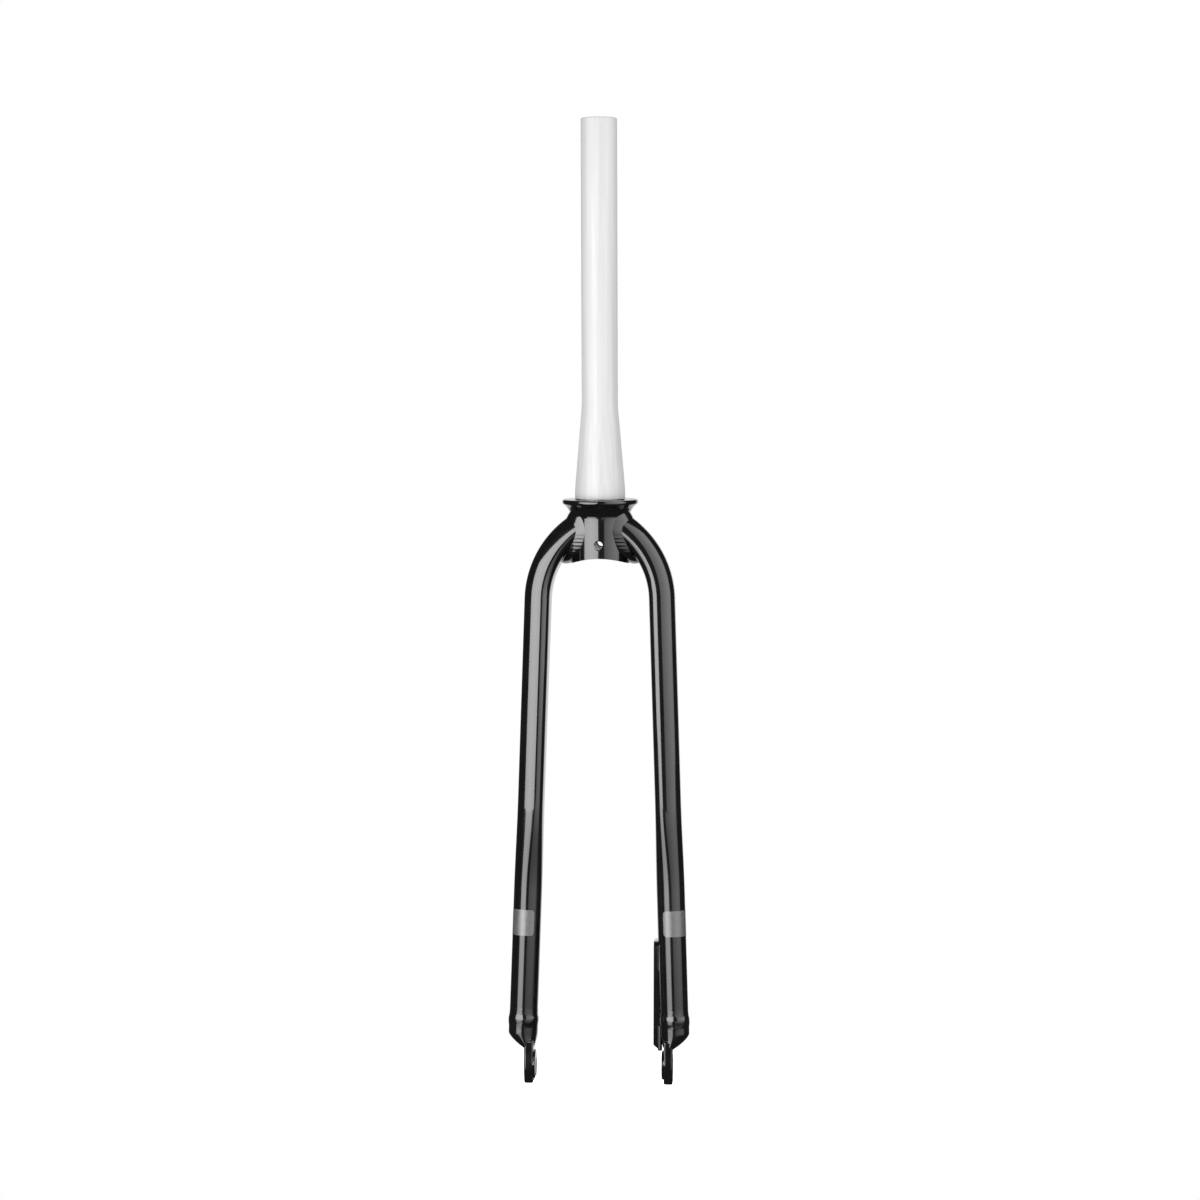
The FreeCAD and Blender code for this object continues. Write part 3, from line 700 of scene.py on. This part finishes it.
def bead(name, ends):
    """A weld bead: a round bar of filler between two points in mm, made a mesh."""
    curve = bpy.data.curves.new(name, "CURVE")
    curve.dimensions = "3D"
    curve.bevel_depth = TAB_BEAD * MM
    curve.bevel_resolution = TAB_BEAD_ROUNDNESS
    curve.use_fill_caps = True
    line = curve.splines.new("POLY")
    line.points.add(len(ends) - 1)
    for point, spot in zip(line.points, ends):
        point.co = (*(spot * MM), 1)
    piece = bpy.data.objects.new(name, curve)
    bpy.context.collection.objects.link(piece)
    bpy.ops.object.select_all(action="DESELECT")
    piece.select_set(True)
    bpy.context.view_layer.objects.active = piece
    bpy.ops.object.convert(target="MESH")
    smoothed(piece, WELD_CREASE)
    piece.data.materials.append(enamel)
    return piece


beads = []
for drop, depth in TAB_BEAD_HEADS:
    head = Vector((TAB_INBOARD + TAB_THICKNESS, depth, -drop))
    foot = head - Vector((0, 0, TAB_BEAD_LENGTH))
    beads.append(bead("disc_tab_beads", [raked @ (spot * MM) / MM for spot in (head, foot)]))
bpy.ops.object.select_all(action="DESELECT")
for tab_bead in beads:
    tab_bead.select_set(True)
tab_beads = beads[0]
bpy.context.view_layer.objects.active = tab_beads
bpy.ops.object.join()
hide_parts("disc_tab_weld")
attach(tab_beads, "root")


# Leg bands: satin silver-grey films, cut with round corners and stuck on low on each leg.
# Each wraps most of the way round the tube and stays open towards the wheel.
BAND_TOP_DROP = 326
BAND_HEIGHT = 20.4
BAND_RADIUS = 11.25
BAND_THICKNESS = 0.2
BAND_HALF_GAP = math.radians(55)
BAND_COLUMNS = 120
BAND_CORNER = 3
FILM_TINTS = ((0.2, "#878687"), (0.8, "#959495"))
FLAKE_SIZE = 0.8

# Cast vinyl film with fine metal flake: a soft silver sheen, a little broken up by the flakes.
# They are about 0.1 mm across, drawn at 0.8 mm to show here.
film = bpy.data.materials.new("silver_vinyl_film")
film.use_nodes = True
tree = film.node_tree
shader = tree.nodes["Principled BSDF"]
place = add_node(tree, "ShaderNodeTexCoord", {}, {}).outputs["Object"]
flake = add_node(tree, "ShaderNodeTexVoronoi", {"Scale": 1 / (FLAKE_SIZE * MM)}, {"Vector": place})
tint = add_node(tree, "ShaderNodeValToRGB", {"stops": FILM_TINTS}, {"Fac": flake.outputs["Color"]})
haze = add_node(tree, "ShaderNodeMapRange",
                {"From Min": 0.2, "From Max": 0.8, "To Min": 0.34, "To Max": 0.44},
                {"Value": flake.outputs["Color"]})
tree.links.new(tint.outputs["Color"], shader.inputs["Base Color"])
tree.links.new(haze.outputs[0], shader.inputs["Roughness"])
shader.inputs["Metallic"].default_value = 0.75

bpy.ops.object.select_all(action="DESELECT")
bpy.ops.mesh.primitive_grid_add(x_subdivisions=BAND_COLUMNS, y_subdivisions=1, size=2)
left_band = bpy.context.object
left_band.name = "left_band_film"
half_turn = math.pi - BAND_HALF_GAP
for vertex in left_band.data.vertices:
    turn = vertex.co.x * half_turn
    to_end = BAND_RADIUS * (half_turn - abs(turn))
    rounding = BAND_CORNER - min(to_end, BAND_CORNER)
    half_height = BAND_HEIGHT / 2 - BAND_CORNER + math.sqrt(max(BAND_CORNER ** 2 - rounding ** 2, 0))
    height = vertex.co.y * half_height - BAND_HEIGHT / 2
    vertex.co = Vector((BAND_RADIUS * math.cos(turn), BAND_RADIUS * math.sin(turn), height)) * MM
bpy.ops.object.mode_set(mode="EDIT")
bpy.ops.mesh.select_all(action="SELECT")
bpy.ops.mesh.flip_normals()
bpy.ops.object.mode_set(mode="OBJECT")
modified(left_band, "SOLIDIFY", thickness=BAND_THICKNESS * MM, offset=1)
band_top = BEND_END + DOWN_LEG * down_to(BAND_TOP_DROP)
left_band.data.transform(Matrix.Translation(band_top * MM) @ Matrix.Rotation(-SPLAY, 4, "Y"))
left_band.data.transform(raked)
smoothed(left_band, LEG_CREASE)
left_band.data.materials.append(film)
right_band = mirrored(left_band, "right_band_film")
for band, node_name in ((left_band, "left_leg_band"), (right_band, "right_leg_band")):
    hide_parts(node_name)
    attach(band, "root")


# Stage: a pale sheet that starts just before the hanging fork, well below it, with white air behind it.
# Two tall softboxes stand before it, each in an upper and a dimmer lower part, and draw the long streaks.
# Sizes here are in metres.
FLOOR_DROP = 0.85
FLOOR_FRONT = 0.3
FLOOR_DEPTH = 1.8
FLOOR_WIDTH = 1.0
bpy.ops.object.select_all(action="DESELECT")
bpy.ops.mesh.primitive_plane_add(size=1, location=(0, FLOOR_DEPTH / 2 - FLOOR_FRONT, -FLOOR_DROP))
bpy.ops.transform.resize(value=(FLOOR_WIDTH, FLOOR_DEPTH, 1))
bpy.ops.object.transform_apply(location=True, rotation=True, scale=True)
floor = bpy.context.object
floor.name = "floor"
floor.visible_glossy = False

# Matt white paper: it keeps the fork's soft shadow and fades out into the white air.
paper = bpy.data.materials.new("white_paper")
paper.use_nodes = True
tree = paper.node_tree
shader = tree.nodes["Principled BSDF"]
shader.inputs["Base Color"].default_value = linear("#f4f4f4")
shader.inputs["Roughness"].default_value = 0.9
rays = add_node(tree, "ShaderNodeLightPath", {}, {})
place = add_node(tree, "ShaderNodeTexCoord", {}, {}).outputs["Object"]
away = add_node(tree, "ShaderNodeVectorMath", {"operation": "LENGTH"}, {0: place})
glow = add_node(tree, "ShaderNodeMapRange", {"From Min": 0.9, "From Max": 1.2, "To Min": 0.7},
                {"Value": away.outputs["Value"]})
lift = add_node(tree, "ShaderNodeMath", {"operation": "MULTIPLY"},
                {0: rays.outputs["Is Camera Ray"], 1: glow.outputs[0]})
shader.inputs["Emission Color"].default_value = linear("#ffffff")
tree.links.new(lift.outputs[0], shader.inputs["Emission Strength"])
floor.data.materials.append(paper)

# The white card close behind the fork shows only in its gloss, as the pale edges of the legs' inner sides.
CARD_LEVEL = 0.72
CARD_BACK = 0.28
CARD_WIDTH = 0.4
CARD_HEIGHT = 0.7
CARD_MIDDLE = -0.22
bpy.ops.object.select_all(action="DESELECT")
bpy.ops.mesh.primitive_plane_add(size=1, location=(0, CARD_BACK, CARD_MIDDLE), rotation=ALONG_Y)
bpy.ops.transform.resize(value=(CARD_WIDTH, 1, CARD_HEIGHT))
bpy.ops.object.transform_apply(location=True, rotation=True, scale=True)
card = bpy.context.object
card.name = "white_card"
card.visible_camera = False
card.visible_diffuse = False
card.visible_shadow = False
pale = bpy.data.materials.new("lit_white_card")
pale.use_nodes = True
tree = pale.node_tree
shader = tree.nodes["Principled BSDF"]
shader.inputs["Base Color"].default_value = linear("#000000")
shader.inputs["Specular IOR Level"].default_value = 0
shader.inputs["Emission Color"].default_value = linear("#ffffff")
shader.inputs["Emission Strength"].default_value = CARD_LEVEL
card.data.materials.append(pale)

# The air is white to the camera, dark in the gloss but straight behind the fork, and fills the shadows.
FILL_LEVEL = 0.9
DARK_LEVEL = 0.03
world = bpy.data.worlds.new("studio")
bpy.context.scene.world = world
world.use_nodes = True
tree = world.node_tree
tree.nodes.clear()
rays = add_node(tree, "ShaderNodeLightPath", {}, {})
way = add_node(tree, "ShaderNodeTexCoord", {}, {}).outputs["Generated"]
heading = add_node(tree, "ShaderNodeSeparateXYZ", {}, {0: way})
behind = add_node(tree, "ShaderNodeMapRange",
                  {"From Min": 0.955, "From Max": 0.975, "To Min": DARK_LEVEL, "To Max": CARD_LEVEL},
                  {"Value": heading.outputs["Y"]})
shiny = add_node(tree, "ShaderNodeMath", {"operation": "MAXIMUM"},
                 {0: rays.outputs["Is Glossy Ray"], 1: rays.outputs["Is Transmission Ray"]})
shown = add_node(tree, "ShaderNodeMath", {"operation": "MULTIPLY"},
                 {0: shiny.outputs[0], 1: behind.outputs[0]})
filled = add_node(tree, "ShaderNodeMath", {"operation": "MULTIPLY_ADD", 1: FILL_LEVEL},
                  {0: rays.outputs["Is Diffuse Ray"], 2: shown.outputs[0]})
level = add_node(tree, "ShaderNodeMath", {"operation": "MAXIMUM"},
                 {0: rays.outputs["Is Camera Ray"], 1: filled.outputs[0]})
air = add_node(tree, "ShaderNodeBackground", {"Color": linear("#ffffff")}, {"Strength": level.outputs[0]})
add_node(tree, "ShaderNodeOutputWorld", {}, {"Surface": air.outputs[0]})

LAMP_DISTANCE = 1.6


def softbox(name, span, heights, level, foot, peak, edge_level):
    """A diffused lamp between two bearings, in degrees to the photo's right, and two heights, in metres.

    Foot is its level at the bottom and the share of its height where that ends. Peak is the brightest share
    of its width, and edge_level its level at the side farthest from there.
    """
    half_span = math.radians(span[1] - span[0]) / 2
    angle = math.radians(span[0]) + half_span
    lamp = bpy.data.lights.new(name, "AREA")
    lamp.shape = "RECTANGLE"
    lamp.size = 2 * LAMP_DISTANCE * math.tan(half_span)
    lamp.size_y = heights[1] - heights[0]
    lamp.energy = level * lamp.size * lamp.size_y
    lamp.use_nodes = True
    tree = lamp.node_tree
    spot = add_node(tree, "ShaderNodeNewGeometry", {}, {}).outputs["Parametric"]
    axes = add_node(tree, "ShaderNodeSeparateXYZ", {}, {0: spot})
    rising = add_node(tree, "ShaderNodeMapRange", {"From Max": foot[1], "To Min": foot[0]},
                      {"Value": axes.outputs["Y"]})
    aside = add_node(tree, "ShaderNodeMath", {"operation": "SUBTRACT", 1: peak}, {0: axes.outputs["X"]})
    reach = add_node(tree, "ShaderNodeMath", {"operation": "ABSOLUTE"}, {0: aside.outputs[0]})
    sides = add_node(tree, "ShaderNodeMapRange",
                     {"From Max": max(peak, 1 - peak), "To Min": 1, "To Max": edge_level},
                     {"Value": reach.outputs[0]})
    glow = add_node(tree, "ShaderNodeMath", {"operation": "MULTIPLY"},
                    {0: rising.outputs[0], 1: sides.outputs[0]})
    tree.links.new(glow.outputs[0], tree.nodes["Emission"].inputs["Strength"])
    stand = bpy.data.objects.new(name, lamp)
    stand.location = (LAMP_DISTANCE * math.sin(angle), -LAMP_DISTANCE * math.cos(angle), sum(heights) / 2)
    stand.rotation_euler = (math.radians(90), 0, angle)
    bpy.context.collection.objects.link(stand)


softbox("left_softbox", span=(-62, -5), heights=(-0.27, 0.7), level=12.2, foot=(0.9, 0.3), peak=0.5,
        edge_level=0.88)
softbox("left_softbox_foot", span=(-51, -12.3), heights=(-0.85, -0.27), level=9.5, foot=(0.37, 1), peak=0.5,
        edge_level=0.88)
softbox("right_softbox", span=(19, 88), heights=(-0.27, 2), level=4.85, foot=(0.75, 0.12), peak=0.7,
        edge_level=0.5)
softbox("right_softbox_foot", span=(8, 79), heights=(-0.85, -0.27), level=3.3, foot=(0.02, 1), peak=0.7,
        edge_level=0.5)

# The camera stands two metres before the fork with a long lens, a little above the crown.
CAMERA_DISTANCE = 2.066
CAMERA_HEIGHT = 0.1133
CAMERA_PITCH = math.radians(5.36)
CAMERA_YAW = math.radians(3.5)
CAMERA_ROLL = math.radians(0.2)
SENSOR_WIDTH = 36
IMAGE_SIDE = 1200
IMAGE_SHIFT = -0.5
FOCAL_PIXELS = 2602
lens = bpy.data.cameras.new("camera")
lens.sensor_width = SENSOR_WIDTH
lens.lens = SENSOR_WIDTH * FOCAL_PIXELS / IMAGE_SIDE
lens.shift_x = IMAGE_SHIFT / IMAGE_SIDE
camera = bpy.data.objects.new("camera", lens)
stand_point = Vector(
    (CAMERA_DISTANCE * math.sin(CAMERA_YAW), -CAMERA_DISTANCE * math.cos(CAMERA_YAW), CAMERA_HEIGHT))
aim = Matrix.Rotation(CAMERA_YAW, 4, "Z") @ Matrix.Rotation(math.radians(90) - CAMERA_PITCH, 4, "X")
camera.matrix_world = Matrix.Translation(stand_point) @ aim @ Matrix.Rotation(-CAMERA_ROLL, 4, "Z")
bpy.context.collection.objects.link(camera)
bpy.context.scene.camera = camera
bpy.context.scene.view_settings.view_transform = "Standard"
